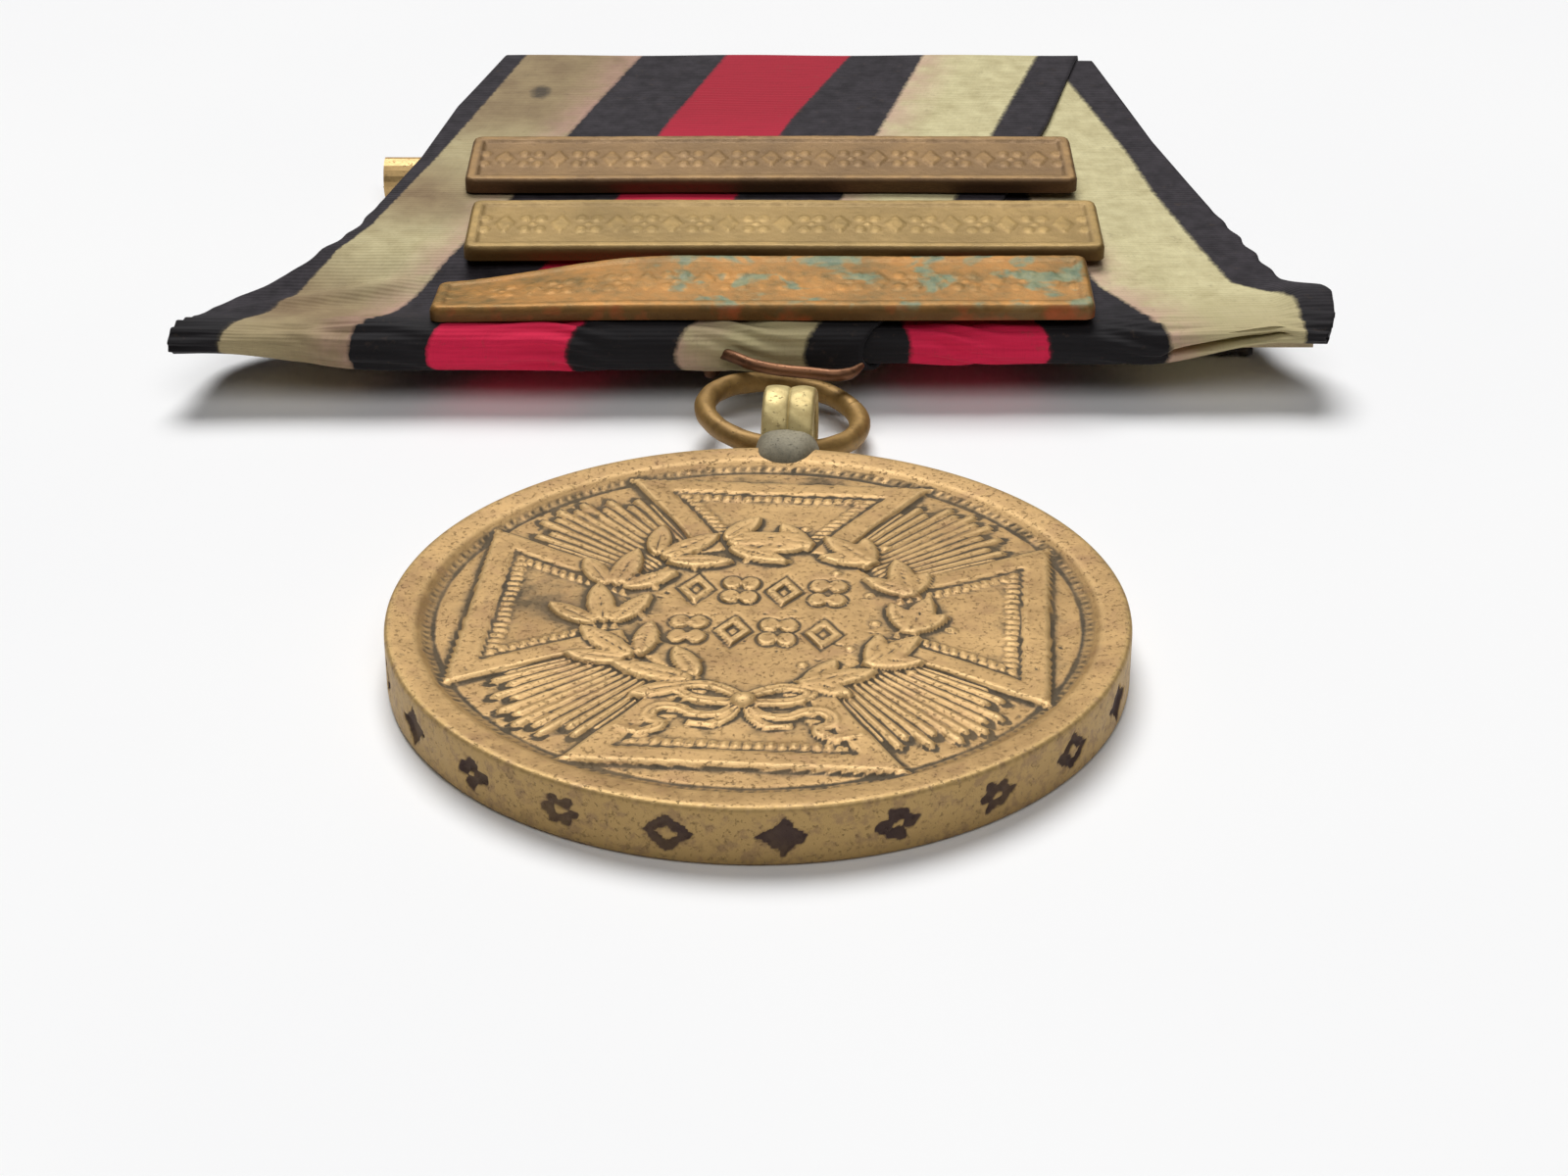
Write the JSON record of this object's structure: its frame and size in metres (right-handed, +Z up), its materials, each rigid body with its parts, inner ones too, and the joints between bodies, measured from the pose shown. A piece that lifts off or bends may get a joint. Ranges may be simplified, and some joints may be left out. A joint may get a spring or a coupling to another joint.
{
  "type": "campaign medal with clasps",
  "caption": "Round struck medal with a cross and wreath, hung by an eyelet and ring from a folded striped ribbon mount with bar clasps and a pin brooch behind.",
  "frame": {"origin": "middle of the underside of the whole object's box, on the surface it lies on", "axes": "+Z up off the surface, +Y from the disc toward the top of the ribbon, +X across the ribbon to the viewer's right"},
  "size_m": [0.0544, 0.0732, 0.0057],
  "materials": {
    "struck_bronze": "worn struck bronze, dark in the recesses, bright on the raised edges",
    "pale_brass": "polished pale brass",
    "grey_solder": "dull grey soft solder",
    "ring_brass": "worn golden brass wire",
    "copper_wire": "dull brown copper wire",
    "brown_bronze": "brown patinated bronze",
    "olive_brass": "olive-yellow brass",
    "worn_gilt": "worn gilt with green corrosion spots",
    "brooch_brass": "dull brass",
    "needle_steel": "bright drawn steel wire",
    "ribbon_weave": "ribbed moire ribbon striped black, cream, black, red, black, cream, black",
    "card_board": "plain pasteboard",
    "backing_cotton": "dark cotton twill",
    "waxed_thread": "waxed black thread"
  },
  "bodies": {
    "mount": {"ribbon": "ribbon_weave", "stiffener_card": "card_board", "backing_cloth": "backing_cotton", "clasp_upper": "brown_bronze", "clasp_upper_prong_left": "brown_bronze", "clasp_upper_prong_right": "brown_bronze", "clasp_middle": "olive_brass", "clasp_middle_prong_left": "olive_brass", "clasp_middle_prong_right": "olive_brass", "clasp_lower": "worn_gilt", "clasp_lower_prong_left": "worn_gilt", "clasp_lower_prong_right": "worn_gilt", "wire_hook": "copper_wire", "brooch_plate": "brooch_brass", "hinge_rivet": "brooch_brass", "brooch_catch": "brooch_brass", "brooch_stitch_1": "waxed_thread", "brooch_stitch_2": "waxed_thread", "brooch_stitch_3": "waxed_thread", "brooch_stitch_4": "waxed_thread"},
    "ring": {"suspension_ring": "ring_brass"},
    "pendant": {"medal_disc": "struck_bronze", "suspension_eyelet": "pale_brass", "solder_collar": "grey_solder"},
    "needle": {"brooch_needle": "needle_steel"}
  },
  "joints": [
    {"name": "ring_swing", "type": "hinge", "parent": "mount", "child": "ring", "pos_m": [0.00128, 0.00109, 0.00145], "axis": [0.9925, 0, -0.1219], "range_deg": [-20, 90]},
    {"name": "medal_swing", "type": "hinge", "parent": "ring", "child": "pendant", "pos_m": [0.00161, -0.00536, 0.0021], "axis": [0.9972, -0.075, 0], "range_deg": [-140, 90]},
    {"name": "pin_open", "type": "hinge", "parent": "mount", "child": "needle", "pos_m": [0.01595, 0.02808, 0.0007], "axis": [0, -0.9988, -0.05], "range_deg": [0, 80]}
  ]
}
